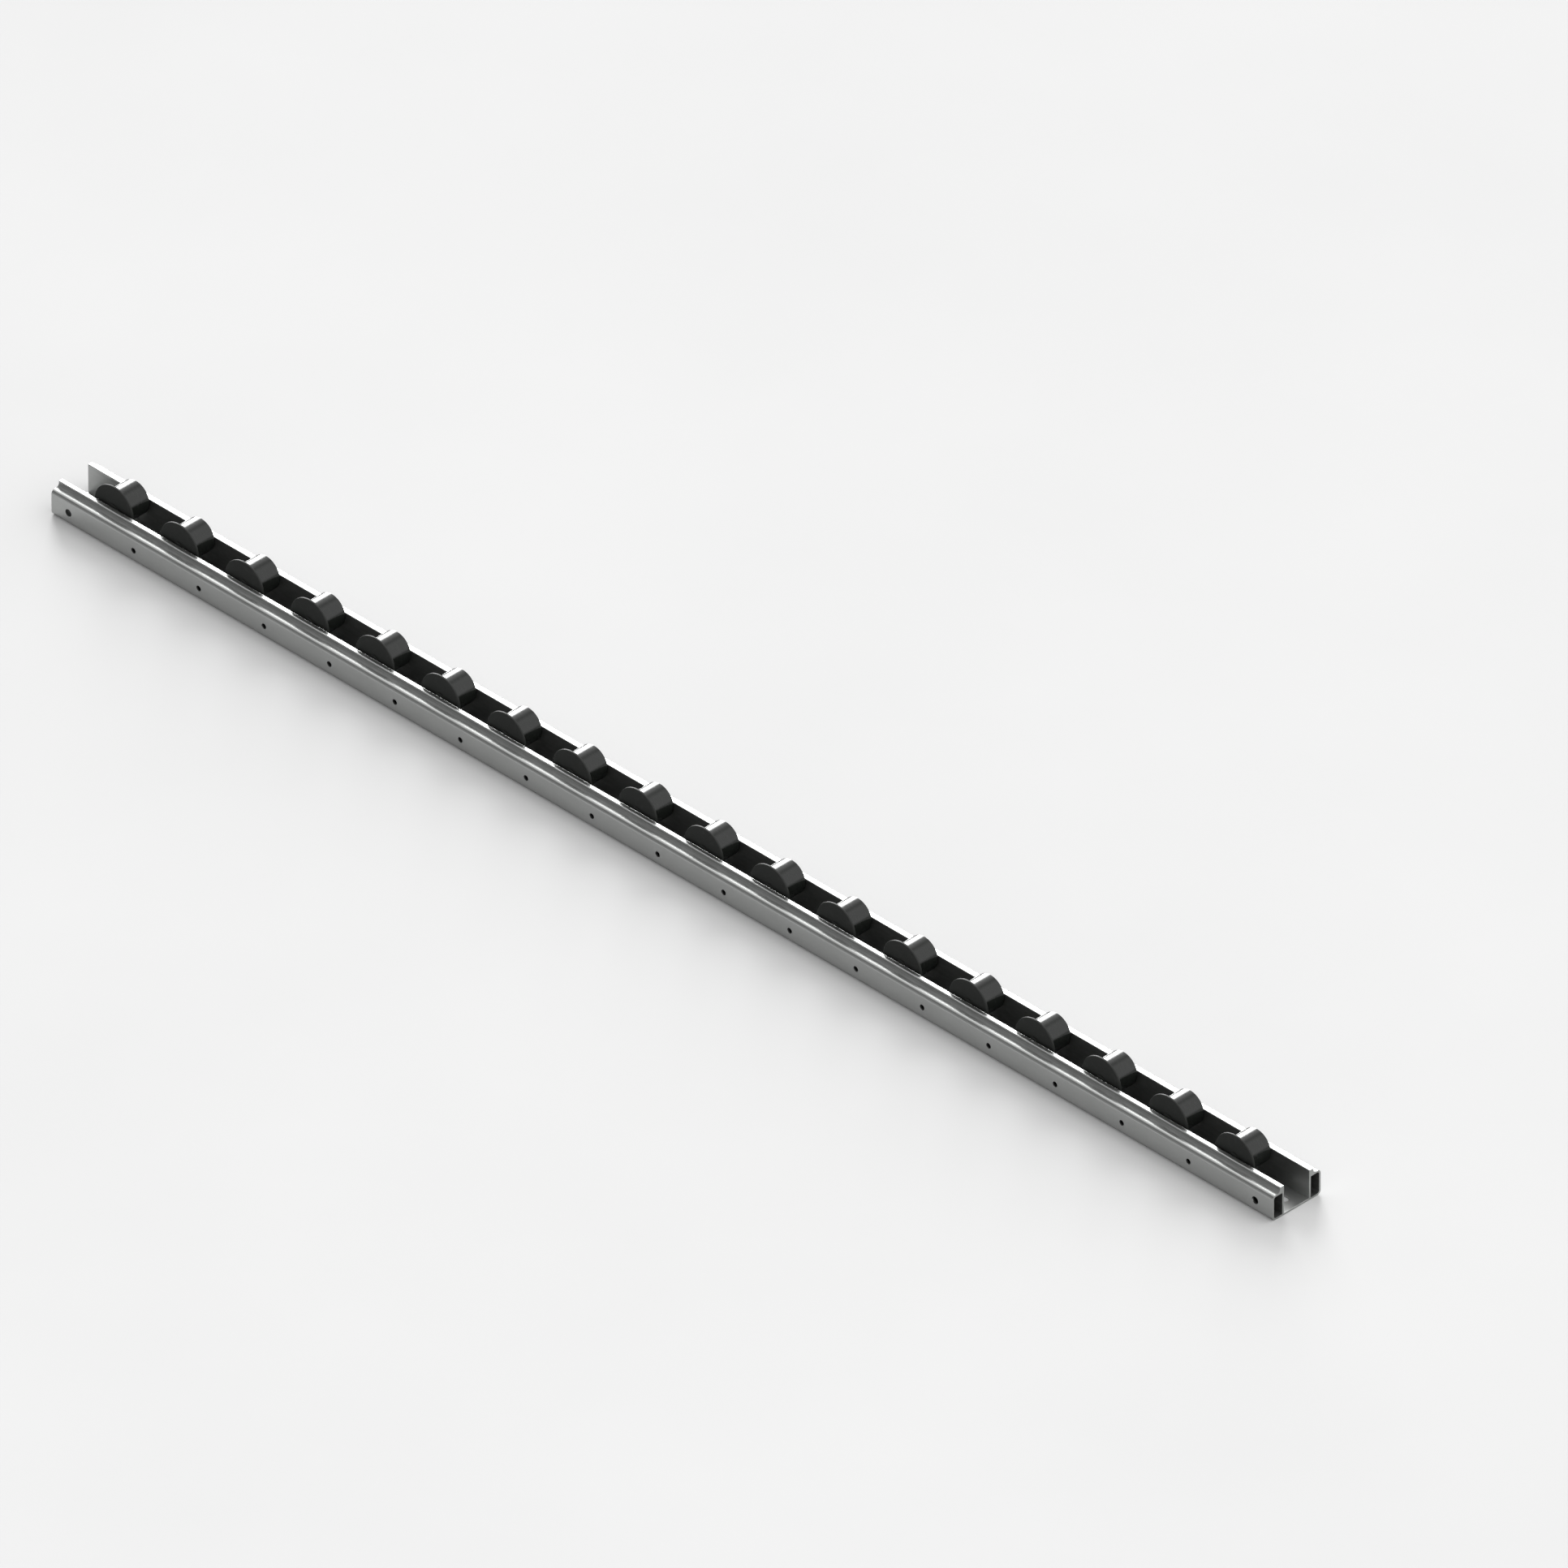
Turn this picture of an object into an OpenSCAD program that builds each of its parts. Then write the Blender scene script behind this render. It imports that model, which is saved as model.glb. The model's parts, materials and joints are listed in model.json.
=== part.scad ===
// Flow rack roller track: a straight channel with a row of flanged plastic rollers on fixed steel axles.
// X runs along the track, Y across it, Z up. The origin is the middle of the underside.
// The rollers carry their flanges on the right-hand side, which is -Y.

/* [Track] */
// Number of rollers
roller_count = 18; // [2:1:18]
// Distance from one roller axle to the next
roller_pitch = 50; // [34:0.5:80]
// Distance from each end of the track to its first side hole
end_inset = 13; // [8:0.5:20]

/* [Channel section] */
// Overall width of the channel
track_w = 36.5; // [34:0.5:60]
// Width of the hollow profile along each side
side_w = 8.7; // [7:0.1:11]
// Height of the side profiles' flat top
side_h = 16.2; // [15:0.1:17]
// Height of the bead above the side profiles' flat top
bead_h = 3.3; // [3.1:0.1:6]
// Width of the bead that holds the axle ends
bead_w = 3; // [2.6:0.1:4.2]
// Wall thickness of the side profiles and the floor strip
wall = 1.2; // [0.8:0.1:1.6]
// Inner radius of the rounded edges along the outer walls
edge_r = 1.5; // [0.5:0.1:3]
// Radius of the fillet between the flat top and the bead
root_r = 1.2; // [0.4:0.1:1.4]
// Radius along the two top edges of the bead
crown_r = 0.5; // [0.2:0.1:1]
// Radius in the two inner corners of each hollow
inner_r = 0.4; // [0.2:0.1:1]

/* [Side holes] */
// Height of the side holes above the underside
hole_z = 7.5; // [5:0.1:11]
// Diameter of the side holes between the rollers
hole_d = 3.4; // [2:0.1:5]
// Diameter of the first and last side hole
end_hole_d = 4.6; // [2:0.1:6]

/* [Floor slots] */
// Width of the slot at each end of the floor
slot_w = 5.2; // [3:0.1:8]
// Overall length of each floor slot
slot_l = 13; // [9:0.5:14]

/* [Axles] */
// Diameter of the steel axles
axle_d = 2.5; // [2:0.1:3]
// Height of the axles above the side profiles' flat top
axle_rise = 1.5; // [0.8:0.1:1.8]
// Depth of the blind seats that hold the axle ends
seat_depth = 2; // [1:0.1:2.2]
// Radial clearance of an axle end in its seat
seat_fit = 0.03; // [0.01:0.01:0.1]
// Gap between an axle's end and the bottom of its seat
seat_end_gap = 0.2; // [0.05:0.05:0.4]
// Chamfer on the axle ends
axle_chamfer = 0.3; // [0.1:0.1:0.6]

/* [Rollers] */
// Diameter of the tread that carries the load
tread_d = 20.6; // [16:0.1:24]
// Diameter of the guide flange
flange_d = 29; // [25:0.1:32]
// Thickness of the flange and of the web behind it
flange_t = 1.5; // [1:0.1:3]
// Wall thickness of the tread
tread_wall = 1.8; // [1.2:0.1:2.6]
// Diameter of the hub
hub_d = 6.8; // [5:0.1:9]
// Distance that the hub stands out past the flange and past the tread
hub_step = 0.5; // [0.2:0.1:1]
// Gap between each end of the hub and the channel wall
side_gap = 0.3; // [0.1:0.05:1]
// Radial running clearance between bore and axle
bore_fit = 0.06; // [0.01:0.01:0.1]
// Radius of the fillet between tread and flange
flange_root_r = 0.8; // [0.2:0.1:1.5]
// Radius on the flange's rim and on the tread's open end
rim_r = 0.5; // [0.2:0.05:0.5]
// Number of ribs inside the tread
rib_count = 6; // [3:1:8]
// Thickness of each rib
rib_t = 1.1; // [0.6:0.1:1.6]
// Distance that the ribs stay back from the tread's open end
rib_setback = 3; // [1:0.5:8]

/* [Hidden] */
$fn = 96;
// Sides of the circles that round a roller's edges
round_sides = 12;
// Overreach of a cut past the face it opens
cut = 0.5;
// Overlap that fuses two shapes of one piece
fuse = 0.2;
track_l = roller_count * roller_pitch + 2 * end_inset;
channel_w = track_w - 2 * side_w;
corner_r = edge_r + wall;
bead_x = side_w - bead_w;
track_h = side_h + bead_h;
axle_z = side_h + axle_rise;
axle_l = channel_w + 2 * (seat_depth - seat_end_gap);
hub_l = channel_w - 2 * side_gap;
body_l = hub_l - 2 * hub_step;
bore_r = axle_d / 2 + bore_fit;
tread_r = tread_d / 2;
tread_bore_r = tread_r - tread_wall;
rib_l = body_l - flange_t - rib_setback;

// Position along the track of hole k, where k runs from 0 to roller_count
function hole_x(k) = (k - roller_count / 2) * roller_pitch;
// Position along the track of roller k, where k runs from 1 to roller_count
function roller_x(k) = (k - (roller_count + 1) / 2) * roller_pitch;
// Node name with a two-digit number, such as roller_07
function numbered(word, k) = str(word, "_", k < 10 ? "0" : "", k);

// ---- shapes in section ----

// Concave corner of radius r that fills the quadrant's corner at the origin
module fillet_2d(r, sides = $fn) {
    difference() {
        square(r);
        translate([r, r]) circle(r, $fn = sides);
    }
}

// Rectangle from the origin whose corners on the side x = w have radius r
module round_ended_2d(w, h, r, sides = $fn) {
    square([w - r, h]);
    translate([0, r]) square([w, h - 2 * r]);
    translate([w - r, r]) circle(r, $fn = sides);
    translate([w - r, h - r]) circle(r, $fn = sides);
}

// Same, with radius r_far on the side x = w and radius r_near on the side x = 0
module round_cornered_2d(w, h, r_near, r_far) {
    translate([w / 2, 0]) round_ended_2d(w / 2, h, r_far);
    translate([w / 2, 0]) mirror([1, 0]) round_ended_2d(w / 2, h, r_near);
}

// Bead along the channel edge, with rounded crown edges and a fillet at its outer root
module bead_2d() {
    translate([bead_x, side_h - fuse]) square([bead_w, bead_h + fuse - crown_r]);
    translate([bead_x + crown_r, side_h]) square([bead_w - 2 * crown_r, bead_h]);
    for (x = [bead_x + crown_r, side_w - crown_r])
        translate([x, track_h - crown_r]) circle(crown_r);
    translate([bead_x, side_h]) mirror([1, 0]) fillet_2d(root_r);
}

// Section of a side profile: x runs from its outer face to the channel, y is height
module side_profile_2d() {
    difference() {
        union() {
            translate([side_w, 0]) mirror([1, 0]) round_ended_2d(side_w, side_h, corner_r);
            bead_2d();
        }
        translate([wall, wall])
            round_cornered_2d(side_w - 2 * wall, side_h - 2 * wall, edge_r, inner_r);
    }
}

// Section of a roller, turned about y: x is the radius, y runs from the flange face
module roller_2d() {
    translate([bore_r, -hub_step]) square([hub_d / 2 - bore_r, hub_l]);
    translate([bore_r, 0]) round_ended_2d(flange_d / 2 - bore_r, flange_t, rim_r, round_sides);
    translate([tread_bore_r, flange_t - fuse])
        square([tread_wall, body_l - flange_t + fuse - rim_r]);
    translate([tread_bore_r, body_l - rim_r - fuse]) square([tread_wall - rim_r, rim_r + fuse]);
    translate([tread_r - rim_r, body_l - rim_r]) circle(rim_r, $fn = round_sides);
    translate([tread_r, flange_t]) fillet_2d(flange_root_r, round_sides);
}

// ---- pieces ----

// Side profile on the -Y side, with its side holes and its blind axle seats
module side_profile() {
    difference() {
        translate([-track_l / 2, -track_w / 2, 0])
            rotate([90, 0, 90]) linear_extrude(track_l) side_profile_2d();
        for (k = [0:roller_count])
            translate([hole_x(k), -track_w / 2 - cut, hole_z]) rotate([-90, 0, 0])
                cylinder(
                    d = k == 0 || k == roller_count ? end_hole_d : hole_d,
                    h = wall + 2 * cut
                );
        for (k = [1:roller_count])
            translate([roller_x(k), -channel_w / 2 - seat_depth, axle_z]) rotate([-90, 0, 0])
                cylinder(r = axle_d / 2 + seat_fit, h = seat_depth + cut);
    }
}

module right_side_profile() {
    color([0.74, 0.75, 0.74]) side_profile();
}

module left_side_profile() {
    color([0.74, 0.75, 0.74]) mirror([0, 1, 0]) side_profile();
}

// Floor between the two side profiles, with a fixing slot near each end
module floor_strip() {
    color([0.7, 0.71, 0.7]) difference() {
        translate([-track_l / 2, -channel_w / 2, 0]) cube([track_l, channel_w, wall]);
        for (x = [hole_x(0), hole_x(roller_count)]) translate([x, 0, -cut]) {
            for (end = [-1, 1])
                translate([end * (slot_l - slot_w) / 2, 0, 0])
                    cylinder(d = slot_w, h = wall + 2 * cut);
            translate([-(slot_l - slot_w) / 2, -slot_w / 2, 0])
                cube([slot_l - slot_w, slot_w, wall + 2 * cut]);
        }
    }
}

// Steel axle number k, with chamfered ends
module axle(k) {
    color([0.8, 0.8, 0.82]) translate([roller_x(k), 0, axle_z]) rotate([-90, 0, 0]) {
        for (end = [0, 1])
            mirror([0, 0, end]) translate([0, 0, axle_l / 2 - axle_chamfer])
                cylinder(d1 = axle_d, d2 = axle_d - 2 * axle_chamfer, h = axle_chamfer);
        cylinder(d = axle_d, h = axle_l - 2 * axle_chamfer, center = true);
    }
}

// Moulded roller number k: flange, hollow tread, hub, and ribs in the tread's open end
module roller(k) {
    color([0.2, 0.2, 0.2])
    translate([roller_x(k), -body_l / 2, axle_z]) rotate([-90, 0, 0]) {
        rotate_extrude() roller_2d();
        for (spoke = [0:rib_count - 1]) rotate([0, 0, spoke * 360 / rib_count])
            translate([hub_d / 2 - fuse, -rib_t / 2, flange_t - fuse])
                cube([tread_bore_r - hub_d / 2 + 2 * fuse, rib_t, rib_l + fuse]);
    }
}

// ---- assembly ----

floor_strip();
right_side_profile();
left_side_profile();
for (k = [1:roller_count]) {
    axle(k);
    roller(k);
}
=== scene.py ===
"""Flow rack roller track: finishes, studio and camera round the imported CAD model. Lengths in metres."""

import json
import math

import bmesh
import bpy
from mathutils import Matrix, Vector


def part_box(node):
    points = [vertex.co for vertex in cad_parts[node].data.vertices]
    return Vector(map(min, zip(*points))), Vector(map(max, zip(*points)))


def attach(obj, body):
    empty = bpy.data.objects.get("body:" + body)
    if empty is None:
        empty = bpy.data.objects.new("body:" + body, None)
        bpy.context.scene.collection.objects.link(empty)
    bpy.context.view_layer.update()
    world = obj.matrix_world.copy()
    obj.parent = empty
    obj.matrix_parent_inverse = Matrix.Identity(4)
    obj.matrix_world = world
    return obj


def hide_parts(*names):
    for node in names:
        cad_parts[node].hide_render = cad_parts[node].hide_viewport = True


MM = 0.001

# ---- the frame, and the sizes that it gives ----

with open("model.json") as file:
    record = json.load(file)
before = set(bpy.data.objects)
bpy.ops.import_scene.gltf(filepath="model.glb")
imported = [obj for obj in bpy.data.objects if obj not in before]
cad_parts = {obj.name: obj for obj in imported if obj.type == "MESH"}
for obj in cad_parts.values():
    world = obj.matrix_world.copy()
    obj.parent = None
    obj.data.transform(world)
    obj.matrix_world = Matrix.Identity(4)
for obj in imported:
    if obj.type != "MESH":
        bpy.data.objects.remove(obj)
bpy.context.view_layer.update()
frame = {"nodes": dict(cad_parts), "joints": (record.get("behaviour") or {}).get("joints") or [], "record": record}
mounts = {m["name"]: m for m in frame["record"]["mounts"]}


def dim(mount, name):
    """One of a mount's dimensions, in metres."""
    return mounts[mount]["dims"][name] * MM


side_low, side_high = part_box("right_side_profile")
floor_low, floor_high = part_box("floor_strip")
roller_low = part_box("roller_01")[0]

track_l = side_high.x - side_low.x
track_w = -2 * side_low.y
track_h = side_high.z
side_w = side_high.y - side_low.y
channel_w = floor_high.y - floor_low.y
wall = floor_high.z
hole_z = mounts["right_end_holes"]["pos_m"][2]
end_hole_x = dim("right_end_holes", "spacing_x_mm") / 2
end_hole_r = dim("right_end_holes", "hole_r_mm")
side_hole_r = dim("right_side_holes_100_apart", "hole_r_mm")
slot_x = dim("floor_slots", "spacing_x_mm") / 2
slot_r = dim("floor_slots", "hole_r_mm")
slot_l = dim("floor_slots", "slot_length_mm")
axle_centres = [Vector(j["pos_m"]) for j in frame["joints"]]
pitch = axle_centres[1].x - axle_centres[0].x
# The body that the rails ride on
ROOT = "track"

# Sizes of the side profile's section that the frame doesn't list
BEAD_W = 3.0 * MM
BEAD_H = 3.3 * MM
EDGE_R = 1.5 * MM
ROOT_R = 2.0 * MM
CROWN_R = 0.5 * MM
INNER_R = 0.4 * MM
SEAT_R = 1.28 * MM
SEAT_DEPTH = 2.0 * MM
# How far a seat's cutter stands out past the wall that it opens
SEAT_OPENING = 0.5 * MM
# How far a roller's guide flange reaches in from the roller's end
FLANGE_REACH = 2.0 * MM

# Places across the track and up it that the section and its finish share
channel_face = channel_w / 2
bead_face = channel_face + BEAD_W
outer_face = track_w / 2
flat_top = track_h - BEAD_H

# ---- camera ----

LENS = 1600.0
SENSOR = 36.0
VIEW_WIDTH = 0.840
AZIMUTH = math.radians(45.0)
ELEVATION = math.atan(1 / math.sqrt(2))
# Where the middle of the picture lies, measured from the origin along the picture's own axes
AIM_RIGHT = 0.0548
AIM_UP = 0.0363


def make_camera():
    """A very long lens from afar, which gives the picture's view without perspective."""
    back = Vector((
        math.sin(AZIMUTH) * math.cos(ELEVATION),
        -math.cos(AZIMUTH) * math.cos(ELEVATION),
        math.sin(ELEVATION),
    ))
    right = Vector((math.cos(AZIMUTH), math.sin(AZIMUTH), 0.0))
    up = back.cross(right)
    data = bpy.data.cameras.new("camera")
    data.lens = LENS
    data.sensor_width = SENSOR
    data.clip_start = 1.0
    data.clip_end = 200.0
    camera = bpy.data.objects.new("camera", data)
    bpy.context.scene.collection.objects.link(camera)
    distance = VIEW_WIDTH * LENS / SENSOR
    camera.location = right * AIM_RIGHT + up * AIM_UP + back * distance
    camera.rotation_mode = "QUATERNION"
    camera.rotation_quaternion = (-back).to_track_quat("-Z", "Y")
    bpy.context.scene.camera = camera


make_camera()

# ---- node helpers ----


def new_material(name):
    material = bpy.data.materials.new(name)
    material.use_nodes = True
    tree = material.node_tree
    return material, tree, tree.nodes["Principled BSDF"]


def add(tree, kind, inputs=(), **settings):
    """A shader node with its settings and its unlinked inputs."""
    node = tree.nodes.new(kind)
    for key, value in settings.items():
        setattr(node, key, value)
    for key, value in dict(inputs).items():
        node.inputs[key].default_value = value
    return node


def ramp(tree, source, stops):
    """A ramp of greys over stops of (position, grey), fed from a socket."""
    node = add(tree, "ShaderNodeValToRGB")
    elements = node.color_ramp.elements
    while len(elements) < len(stops):
        elements.new(0.5)
    for element, (position, grey) in zip(elements, stops):
        element.position = position
        element.color = (grey, grey, grey, 1.0)
    tree.links.new(source, node.inputs["Fac"])
    return node.outputs["Color"]


def span(tree, source, low, high):
    """Maps 0..1 to low..high."""
    node = add(tree, "ShaderNodeMapRange", {"To Min": low, "To Max": high})
    tree.links.new(source, node.inputs["Value"])
    return node.outputs["Result"]


def along(tree, vector, direction):
    """How far a vector reaches along a direction."""
    node = add(tree, "ShaderNodeVectorMath", {1: direction}, operation="DOT_PRODUCT")
    tree.links.new(vector, node.inputs[0])
    return node.outputs["Value"]


def fade(tree, source, zero_at, one_at, top=1.0):
    """0 at one value and the top at another, and straight in between."""
    node = add(tree, "ShaderNodeMapRange", {"From Min": zero_at, "From Max": one_at, "To Max": top})
    tree.links.new(source, node.inputs["Value"])
    return node.outputs["Result"]


def magnitude(tree, source):
    """A value without its sign."""
    node = add(tree, "ShaderNodeMath", operation="ABSOLUTE")
    tree.links.new(source, node.inputs[0])
    return node.outputs["Value"]


def combine(tree, operation, sources):
    """Runs a two-input operation through a row of sockets."""
    result = sources[0]
    for source in sources[1:]:
        node = add(tree, "ShaderNodeMath", operation=operation)
        tree.links.new(result, node.inputs[0])
        tree.links.new(source, node.inputs[1])
        result = node.outputs["Value"]
    return result


def product(tree, *sources):
    return combine(tree, "MULTIPLY", sources)


def largest(tree, *sources):
    return combine(tree, "MAXIMUM", sources)


def stretched_noise(tree, scale, detail=4.0):
    """Noise over object coordinates. The scale is its waves per metre along each axis."""
    place = add(tree, "ShaderNodeTexCoord")
    mapping = add(tree, "ShaderNodeMapping", {"Scale": scale})
    noise = add(tree, "ShaderNodeTexNoise", {"Scale": 1.0, "Detail": detail, "Roughness": 0.55})
    tree.links.new(place.outputs["Object"], mapping.inputs["Vector"])
    tree.links.new(mapping.outputs["Vector"], noise.inputs["Vector"])
    return noise.outputs["Fac"]


def mix_colour(tree, factor, a, b):
    """Goes from a to b, each of them a grey, a colour or a socket."""
    node = add(tree, "ShaderNodeMix", data_type="RGBA")
    tree.links.new(factor, node.inputs["Factor"])
    for socket, value in ((node.inputs["A"], a), (node.inputs["B"], b)):
        if isinstance(value, float):
            value = (value, value, value)
        if isinstance(value, tuple):
            socket.default_value = (*value, 1.0)
        else:
            tree.links.new(value, socket)
    return node.outputs["Result"]


def bump(tree, height, distance, strength, shader):
    node = add(tree, "ShaderNodeBump", {"Distance": distance, "Strength": strength})
    tree.links.new(height, node.inputs["Height"])
    tree.links.new(node.outputs["Normal"], shader.inputs["Normal"])


def end_face_mask(tree):
    """1 on faces that look along the track, such as the sawn ends, and 0 elsewhere."""
    geometry = add(tree, "ShaderNodeNewGeometry")
    split = add(tree, "ShaderNodeSeparateXYZ")
    tree.links.new(geometry.outputs["True Normal"], split.inputs["Vector"])
    return ramp(tree, magnitude(tree, split.outputs["X"]), [(0.9, 0.0), (0.99, 1.0)])


# ---- materials ----

METAL_DARK = (0.360, 0.367, 0.360)
METAL_LIGHT = (0.410, 0.417, 0.410)
# Base colour painted as shade in the channel, inside the hollows and along the beads' roots
METAL_PAINTED_SHADE = (0.120, 0.123, 0.120)
METAL_RUBBED = (0.560, 0.565, 0.560)
CUT_DARK = (0.27, 0.28, 0.27)
CUT_LIGHT = (0.36, 0.37, 0.36)
PLASTIC_CLEAN = (0.007, 0.008, 0.007)
PLASTIC_WORN = (0.014, 0.015, 0.014)
# Roughness where that painted shade lies
PAINTED_SHADE_ROUGHNESS = 0.585
FLANGE_ROUGHNESS = 0.60

# Share of the painted shade's cover away from the foot of the beads, where it is full
PAINTED_SHADE_SHARE = 0.64
# Length at each end of the channel over which the painted shade thins out
OPEN_END = 24.0 * MM
# Width over which a finish stops at an edge
FINISH_EDGE = 0.1 * MM
# Heights above the flat top between which the painted shade thins out up a bead's root
ROOT_SHADE_HEIGHTS = (0.15 * MM, 0.55 * MM)
# Depths below a profile's outline between which the painted shade of its hollow sets in
HOLLOW_SHADE_DEPTHS = (0.4 * MM, 0.8 * MM)
# How far down from a bead's top the rubbing reaches
RUBBED_DEPTH = 0.4 * MM


def channel_painted_shade(tree, lengthways, across, height):
    """Painted shade on the channel's walls and floor, thinning out towards its open ends."""
    return product(
        tree,
        fade(tree, across, channel_face + 2 * FINISH_EDGE, channel_face + FINISH_EDGE, PAINTED_SHADE_SHARE),
        fade(tree, height, wall - 4 * FINISH_EDGE, wall - 2 * FINISH_EDGE),
        fade(tree, lengthways, track_l / 2, track_l / 2 - OPEN_END),
    )


def root_painted_shade(tree, across, height):
    """Painted shade along the foot of each bead, thinner up its root fillet."""
    foot = bead_face + ROOT_R + FINISH_EDGE
    up_root = fade(tree, height, flat_top + ROOT_SHADE_HEIGHTS[0], flat_top + ROOT_SHADE_HEIGHTS[1])
    return product(
        tree,
        fade(tree, across, bead_face - 2 * FINISH_EDGE, bead_face - FINISH_EDGE),
        fade(tree, across, foot + 6 * FINISH_EDGE, foot),
        fade(tree, height, flat_top - 0.3 * FINISH_EDGE, flat_top - 0.1 * FINISH_EDGE),
        ramp(tree, up_root, [(0.0, 1.0), (1.0, PAINTED_SHADE_SHARE)]),
    )


def hollow_painted_shade(tree, across, height):
    """Painted shade all over the inside of the hollow profiles."""
    none, full = HOLLOW_SHADE_DEPTHS
    return product(
        tree,
        fade(tree, across, channel_face + none, channel_face + full),
        fade(tree, across, outer_face - none, outer_face - full),
        fade(tree, height, none, full),
        fade(tree, height, flat_top - none, flat_top - full),
    )


def painted_shade_cover(tree, place):
    """How much of the rails' surface the painted shade covers, from 0 to 1."""
    lengthways = magnitude(tree, along(tree, place, (1.0, 0.0, 0.0)))
    across = magnitude(tree, along(tree, place, (0.0, 1.0, 0.0)))
    height = along(tree, place, (0.0, 0.0, 1.0))
    places = largest(
        tree,
        channel_painted_shade(tree, lengthways, across, height),
        root_painted_shade(tree, across, height),
        hollow_painted_shade(tree, across, height),
    )
    under_top = fade(tree, height, track_h - RUBBED_DEPTH, track_h - 3 * RUBBED_DEPTH)
    patches = ramp(tree, stretched_noise(tree, (120.0, 500.0, 500.0)), [(0.30, 0.75), (0.65, 1.0)])
    return product(tree, places, under_top, patches)


def rubbed_cover(tree, place):
    """How much of the beads' tops is scuffed, from 0 to 1."""
    height = along(tree, place, (0.0, 0.0, 1.0))
    scratches = stretched_noise(tree, (90.0, 2400.0, 2400.0), detail=3.0)
    return product(
        tree,
        fade(tree, height, track_h - RUBBED_DEPTH, track_h - RUBBED_DEPTH / 4),
        ramp(tree, scratches, [(0.50, 0.0), (0.62, 1.0)]),
    )


def channel_metal():
    """Drawn metal: die lines along the track, painted shade inside the channel and hollows and in corners, scuffed
    beads and sawn ends.
    """
    material, tree, shader = new_material("channel_metal")
    shader.inputs["Metallic"].default_value = 1.0
    place = add(tree, "ShaderNodeTexCoord").outputs["Object"]
    lines = stretched_noise(tree, (6.0, 2600.0, 2600.0))
    clouds = stretched_noise(tree, (45.0, 160.0, 160.0), detail=3.0)
    saw = stretched_noise(tree, (500.0, 300.0, 5200.0), detail=2.0)
    ends = end_face_mask(tree)
    painted_shade = painted_shade_cover(tree, place)
    side = mix_colour(tree, clouds, METAL_DARK, METAL_LIGHT)
    # Painted shade: darker base colour in the channel, inside the hollows and along the beads' roots
    side = mix_colour(tree, painted_shade, side, METAL_PAINTED_SHADE)
    side = mix_colour(tree, rubbed_cover(tree, place), side, METAL_RUBBED)
    cut = mix_colour(tree, saw, CUT_DARK, CUT_LIGHT)
    tree.links.new(mix_colour(tree, ends, side, cut), shader.inputs["Base Color"])
    drawn_skin = mix_colour(tree, painted_shade, span(tree, lines, 0.28, 0.42), PAINTED_SHADE_ROUGHNESS)
    sawn_skin = span(tree, saw, 0.34, 0.48)
    tree.links.new(mix_colour(tree, ends, drawn_skin, sawn_skin), shader.inputs["Roughness"])
    bump(tree, mix_colour(tree, ends, lines, saw), 0.006 * MM, 0.5, shader)
    return material


def axle_steel():
    """Drawn steel wire with fine marks round it."""
    material, tree, shader = new_material("axle_steel")
    shader.inputs["Metallic"].default_value = 1.0
    marks = stretched_noise(tree, (900.0, 4000.0, 900.0))
    tree.links.new(ramp(tree, marks, [(0.3, 0.42), (0.7, 0.60)]), shader.inputs["Base Color"])
    tree.links.new(span(tree, marks, 0.22, 0.36), shader.inputs["Roughness"])
    bump(tree, marks, 0.004 * MM, 0.4, shader)
    return material


def roller_plastic():
    """Moulded black plastic: satin skin with faint scuffs, and a guide flange rubbed dull."""
    material, tree, shader = new_material("roller_plastic")
    grain = stretched_noise(tree, (2200.0, 2200.0, 2200.0), detail=2.0)
    scuffs = stretched_noise(tree, (260.0, 900.0, 260.0), detail=5.0)
    worn = ramp(tree, scuffs, [(0.55, 0.0), (0.80, 1.0)])
    tree.links.new(mix_colour(tree, worn, PLASTIC_CLEAN, PLASTIC_WORN), shader.inputs["Base Color"])
    place = add(tree, "ShaderNodeTexCoord").outputs["Object"]
    flange_end = roller_low.y + FLANGE_REACH
    flange = fade(tree, along(tree, place, (0.0, 1.0, 0.0)), flange_end + FINISH_EDGE, flange_end)
    skin = mix_colour(tree, flange, span(tree, scuffs, 0.12, 0.20), FLANGE_ROUGHNESS)
    tree.links.new(skin, shader.inputs["Roughness"])
    shader.inputs["Specular IOR Level"].default_value = 0.25
    bump(tree, grain, 0.006 * MM, 0.35, shader)
    return material


def studio_floor():
    """Pale matte floor with a faint mottle."""
    material, tree, shader = new_material("studio_floor")
    shader.inputs["Roughness"].default_value = 0.9
    shader.inputs["Specular IOR Level"].default_value = 0.1
    mottle = stretched_noise(tree, (3.0, 3.0, 3.0))
    tree.links.new(ramp(tree, mottle, [(0.3, 0.460), (0.7, 0.475)]), shader.inputs["Base Color"])
    return material


METAL = channel_metal()
STEEL = axle_steel()
PLASTIC = roller_plastic()


def paint(piece, material):
    piece.data.materials.clear()
    piece.data.materials.append(material)


# ---- rails: the CAD sections with finer curves and broken edges ----

# Turn between two points of an arc
ARC_STEP = math.radians(7.5)
HOLE_SIDES = 72
# The most that an edge may be broken by. Blender's overlap limit holds it back further: the rails' edges
# come out broken by about 0.03 mm and the floor's by 0.05 mm
EDGE_BREAK = 0.12 * MM
# Turn between two faces that makes an edge sharp enough to be broken
SHARP_TURN = math.radians(50)
# Neighbouring faces that turn less than this count as flat and are merged
FLAT_TURN = math.radians(1)


def arc(centre, start, turn):
    """Points of an arc, from the centre's offset at its start on through the turn."""
    count = round(abs(turn) / ARC_STEP)
    points = []
    for k in range(count + 1):
        angle = turn * k / count
        points.append(centre + Vector((
            start.x * math.cos(angle) - start.y * math.sin(angle),
            start.x * math.sin(angle) + start.y * math.cos(angle),
        )))
    return points


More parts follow.
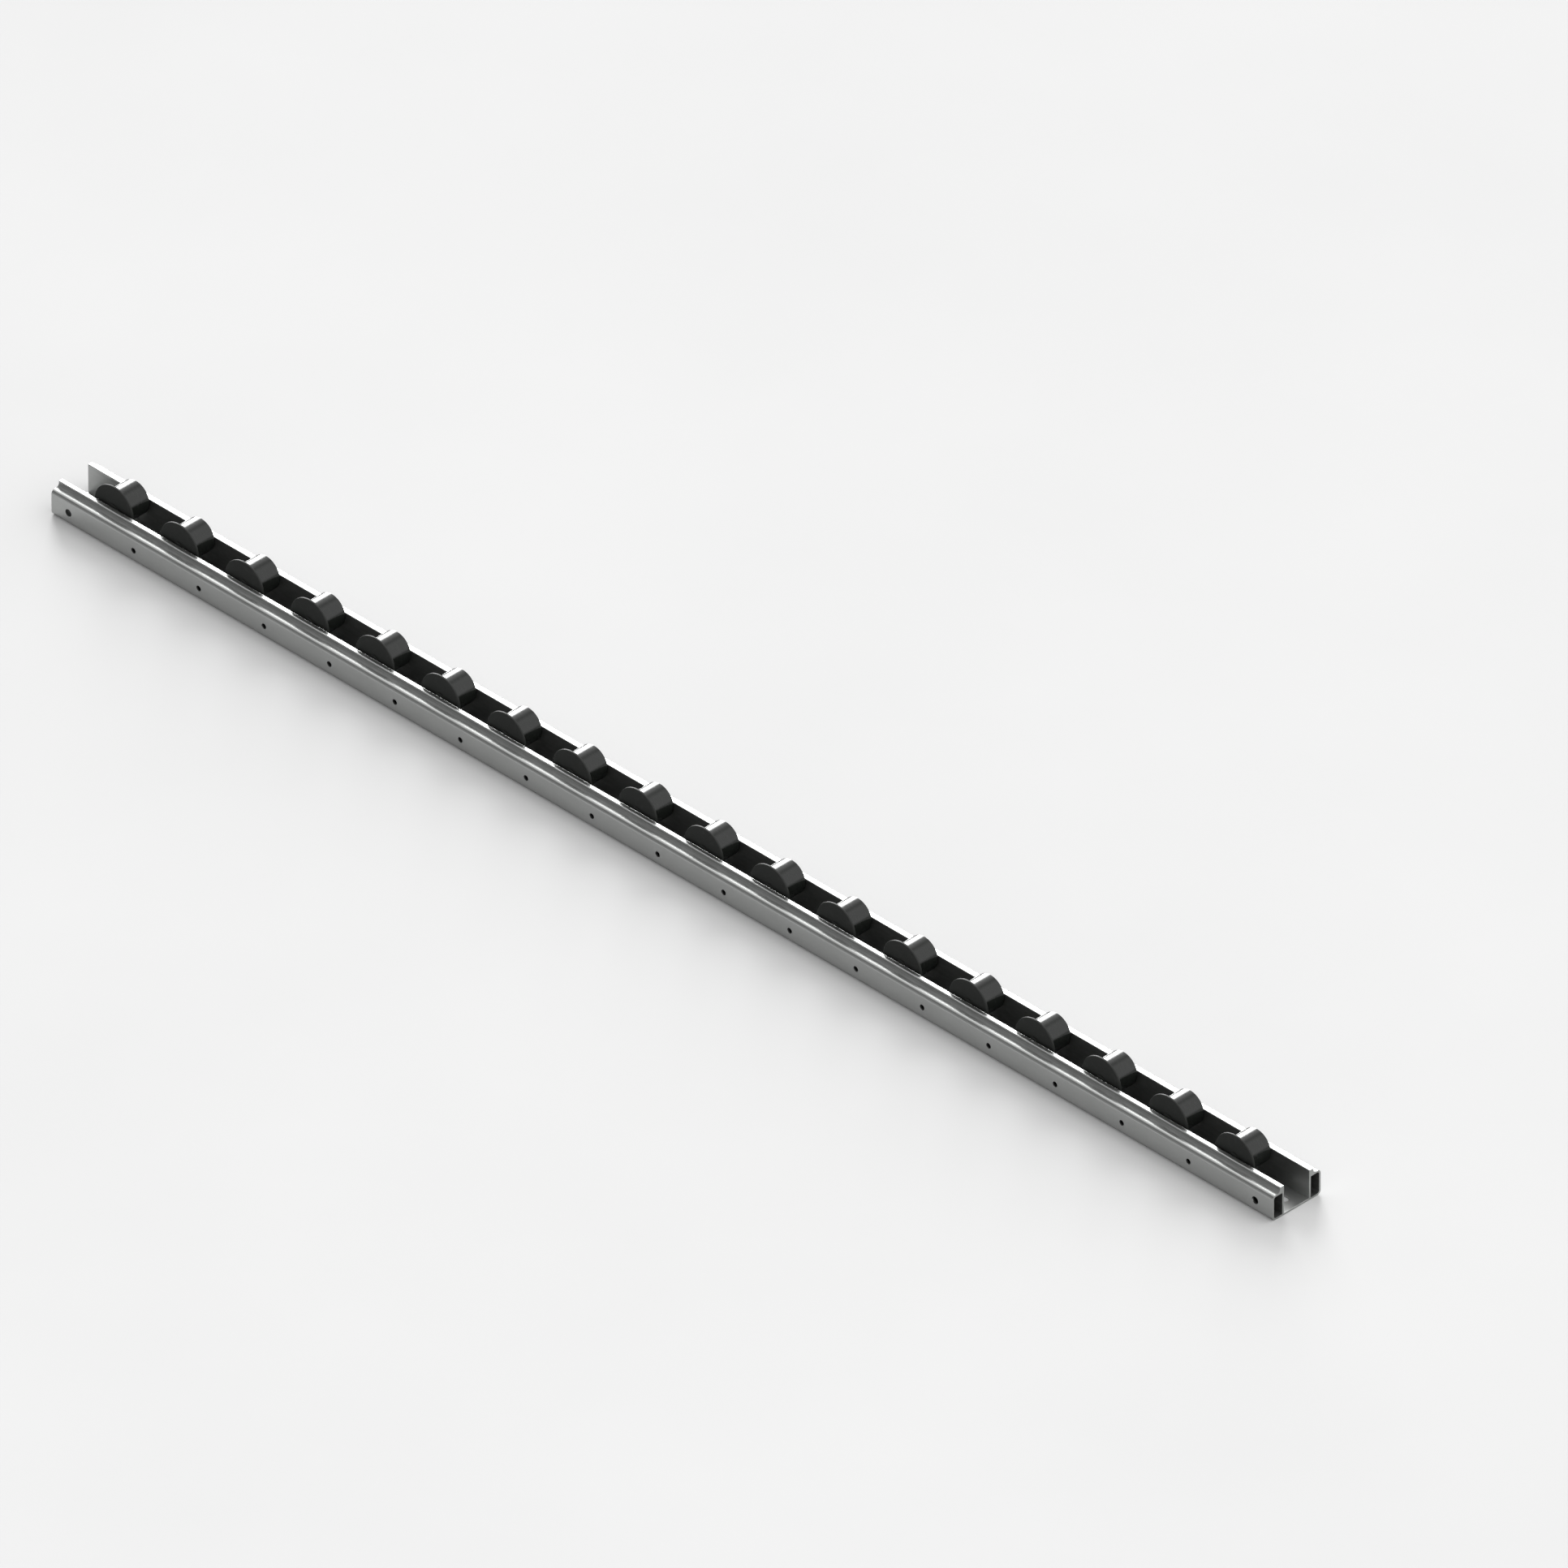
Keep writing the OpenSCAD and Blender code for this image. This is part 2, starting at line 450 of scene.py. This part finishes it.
def rounded(corners):
    """A closed outline through corners of (across, up, radius), each rounded by an arc of its radius."""
    outline = []
    for i, (across, up, radius) in enumerate(corners):
        corner = Vector((across, up))
        if radius == 0:
            outline.append(corner)
            continue
        back = (Vector(corners[i - 1][:2]) - corner).normalized()
        on = (Vector(corners[(i + 1) % len(corners)][:2]) - corner).normalized()
        half = back.angle(on) / 2
        centre = corner + (back + on).normalized() * radius / math.sin(half)
        start = corner + back * radius / math.tan(half) - centre
        end = corner + on * radius / math.tan(half) - centre
        outline += arc(centre, start, -start.angle_signed(end))
    return outline


def link_mesh(name, mesh):
    """Turns a bmesh into an object of the scene."""
    data = bpy.data.meshes.new(name)
    mesh.to_mesh(data)
    mesh.free()
    piece = bpy.data.objects.new(name, data)
    bpy.context.scene.collection.objects.link(piece)
    return piece


def drawn(name, outlines, place):
    """A bar along the track whose section is the first outline less the others."""
    mesh = bmesh.new()
    ends = []
    for x in (-track_l / 2, track_l / 2):
        ends.append([[mesh.verts.new((x, *place(point))) for point in line] for line in outlines])
    for low_line, high_line in zip(*ends):
        for i in range(len(low_line)):
            mesh.faces.new((low_line[i - 1], low_line[i], high_line[i], high_line[i - 1]))
    for end in ends:
        rim = [mesh.edges.get((line[i - 1], line[i])) for line in end for i in range(len(line))]
        bmesh.ops.triangle_fill(mesh, edges=rim, use_beauty=True)
    bmesh.ops.dissolve_limit(mesh, angle_limit=FLAT_TURN, verts=mesh.verts, edges=mesh.edges)
    bmesh.ops.recalc_face_normals(mesh, faces=mesh.faces)
    return link_mesh(name, mesh)


def bores(rows):
    """Cutters for round holes across the track, as one object. A row is a centre, a radius and a depth."""
    turn = Matrix.Rotation(math.radians(90), 4, "X")
    mesh = bmesh.new()
    for centre, radius, depth in rows:
        bmesh.ops.create_cone(
            mesh,
            cap_ends=True,
            segments=HOLE_SIDES,
            radius1=radius,
            radius2=radius,
            depth=depth,
            matrix=Matrix.Translation(centre) @ turn,
        )
    return link_mesh("cutter", mesh)


def cut_and_break(piece, cutter):
    """Takes the cutter out of the piece, breaks the sharp edges and applies both."""
    holes = piece.modifiers.new("holes", "BOOLEAN")
    holes.object = cutter
    holes.operation = "DIFFERENCE"
    holes.solver = "EXACT"
    edges = piece.modifiers.new("edges", "BEVEL")
    edges.width = EDGE_BREAK
    edges.segments = 2
    edges.limit_method = "ANGLE"
    edges.angle_limit = SHARP_TURN
    flat = piece.modifiers.new("flat", "WEIGHTED_NORMAL")
    flat.weight = 100
    bpy.context.view_layer.update()
    for polygon in piece.data.polygons:
        polygon.use_smooth = True
    shape = piece.evaluated_get(bpy.context.evaluated_depsgraph_get())
    finished = bpy.data.meshes.new_from_object(shape)
    finished.name = piece.name
    piece.modifiers.clear()
    piece.data = finished
    bpy.data.objects.remove(cutter)


def side_rail(name, node, side):
    """One hollow side rail, with its side holes and blind axle seats. side is -1 for the right-hand one."""
    outer_r = EDGE_R + wall
    bead = side_w - BEAD_W
    outside = rounded([
        (0, 0, outer_r),
        (0, flat_top, outer_r),
        (bead, flat_top, ROOT_R),
        (bead, track_h, CROWN_R),
        (side_w, track_h, CROWN_R),
        (side_w, 0, 0),
    ])
    hollow = rounded([
        (wall, wall, EDGE_R),
        (wall, flat_top - wall, EDGE_R),
        (side_w - wall, flat_top - wall, INNER_R),
        (side_w - wall, wall, INNER_R),
    ])
    rail = drawn(name, [outside, hollow], lambda p: (side * (outer_face - p.x), p.y))
    rows = []
    hole_count = round(2 * end_hole_x / pitch) + 1
    for k in range(hole_count):
        is_end = k in (0, hole_count - 1)
        radius = end_hole_r if is_end else side_hole_r
        centre = Vector((k * pitch - end_hole_x, side * (outer_face - wall / 2), hole_z))
        rows.append((centre, radius, 2 * wall))
    middle = side * (channel_face + (SEAT_DEPTH - SEAT_OPENING) / 2)
    for axle in axle_centres:
        rows.append((Vector((axle.x, middle, axle.z)), SEAT_R, SEAT_DEPTH + SEAT_OPENING))
    cut_and_break(rail, bores(rows))
    paint(rail, METAL)
    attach(rail, ROOT)
    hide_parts(node)


def slots():
    """Cutters for the floor's two slots, as one object."""
    mesh = bmesh.new()
    outline = rounded([
        (-slot_l / 2, -slot_r, slot_r),
        (slot_l / 2, -slot_r, slot_r),
        (slot_l / 2, slot_r, slot_r),
        (-slot_l / 2, slot_r, slot_r),
    ])
    for x in (-slot_x, slot_x):
        face = mesh.faces.new([mesh.verts.new((x + p.x, p.y, -wall)) for p in outline])
        grown = bmesh.ops.extrude_face_region(mesh, geom=[face])["geom"]
        moved = [v for v in grown if isinstance(v, bmesh.types.BMVert)]
        bmesh.ops.translate(mesh, verts=moved, vec=(0, 0, 3 * wall))
    bmesh.ops.remove_doubles(mesh, verts=mesh.verts, dist=0.001 * MM)
    bmesh.ops.recalc_face_normals(mesh, faces=mesh.faces)
    return link_mesh("cutter", mesh)


def floor_plate():
    """The floor between the rails, with a slot near each end."""
    left, right = -channel_face, channel_face
    section = [Vector(p) for p in ((left, 0), (right, 0), (right, wall), (left, wall))]
    plate = drawn("floor_plate", [section], lambda p: (p.x, p.y))
    cut_and_break(plate, slots())
    paint(plate, METAL)
    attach(plate, ROOT)
    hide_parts("floor_strip")


side_rail("right_rail", "right_side_profile", -1)
side_rail("left_rail", "left_side_profile", 1)
floor_plate()

# ---- CAD nodes that keep their own shape ----

for name, node in frame["nodes"].items():
    if name.startswith("axle"):
        paint(node, STEEL)
    if name.startswith("roller"):
        paint(node, PLASTIC)

# ---- studio ----

# Where the big soft light stands, as a direction from the object
KEY_DIRECTION = (-0.577, 0.470, 0.668)
# Its radiance, and how much of it is left at the cosine of the angle from its middle
KEY_LIGHT = 2.6
KEY_FALLOFF = [(0.24, 0.09), (0.45, 0.15), (0.62, 0.23), (0.80, 0.38), (0.92, 0.68), (0.97, 1.0)]
# Two broad, weaker ones, at the right and in front: their directions and radiances
FILL_LIGHTS = [((0.62, 0.55, 0.56), 2.4), ((0.55, -0.62, 0.56), 1.6)]
# The cosines of the angle from a fill light's middle where it ends and where it is full
FILL_RIM = 0.55
FILL_CORE = 0.90
# An upright strip light behind the track: its azimuth, half width, lowest and highest edge in degrees,
# and its radiance
STRIP_AZIMUTH = 139.0
STRIP_HALF_WIDTH = 9.0
STRIP_LOW = 2.0
STRIP_HIGH = 31.0
STRIP_LIGHT = 24.0
# Degrees over which its edges fade
STRIP_SOFT = 3.0

# Half the floor's side, and how far it lies under the track so that the two faces don't coincide
FLOOR_HALF = 30.0
FLOOR_GAP = 0.02 * MM


def strip_light(tree, vector):
    """The strip light's radiance along a direction."""
    azimuth = math.radians(STRIP_AZIMUTH)
    low = math.sin(math.radians(STRIP_LOW))
    high = math.sin(math.radians(STRIP_HIGH))
    edge = math.sin(math.radians(STRIP_HALF_WIDTH))
    soft = math.sin(math.radians(STRIP_SOFT))
    forward = along(tree, vector, (math.cos(azimuth), math.sin(azimuth), 0.0))
    sideways = magnitude(tree, along(tree, vector, (math.sin(azimuth), -math.cos(azimuth), 0.0)))
    height = along(tree, vector, (0.0, 0.0, 1.0))
    return product(
        tree,
        fade(tree, forward, 0.0, soft, STRIP_LIGHT),
        fade(tree, sideways, edge + soft, edge),
        fade(tree, height, low - soft, low),
        fade(tree, height, high + soft, high),
    )


def make_world():
    """A big soft light high at the left, fill lights at the right and in front, and a low strip behind."""
    world = bpy.data.worlds.new("studio")
    world.use_nodes = True
    bpy.context.scene.world = world
    tree = world.node_tree
    vector = add(tree, "ShaderNodeTexCoord").outputs["Generated"]
    reach = fade(tree, along(tree, vector, KEY_DIRECTION), 0.0, 1.0)
    key = fade(tree, ramp(tree, reach, KEY_FALLOFF), 0.0, 1.0, KEY_LIGHT)
    fills = [fade(tree, along(tree, vector, way), FILL_RIM, FILL_CORE, light) for way, light in FILL_LIGHTS]
    brightest = largest(tree, key, strip_light(tree, vector), *fills)
    tree.links.new(brightest, tree.nodes["Background"].inputs["Strength"])
    tree.nodes["Background"].inputs["Color"].default_value = (1.0, 1.0, 1.0, 1.0)


def make_floor():
    """A flat square under the track."""
    mesh = bpy.data.meshes.new("studio_floor")
    signs = ((-1, -1), (1, -1), (1, 1), (-1, 1))
    mesh.from_pydata([(x * FLOOR_HALF, y * FLOOR_HALF, -FLOOR_GAP) for x, y in signs], [], [(0, 1, 2, 3)])
    floor = bpy.data.objects.new("studio_floor", mesh)
    bpy.context.scene.collection.objects.link(floor)
    paint(floor, studio_floor())


make_world()
make_floor()
bpy.context.scene.view_settings.view_transform = "Standard"
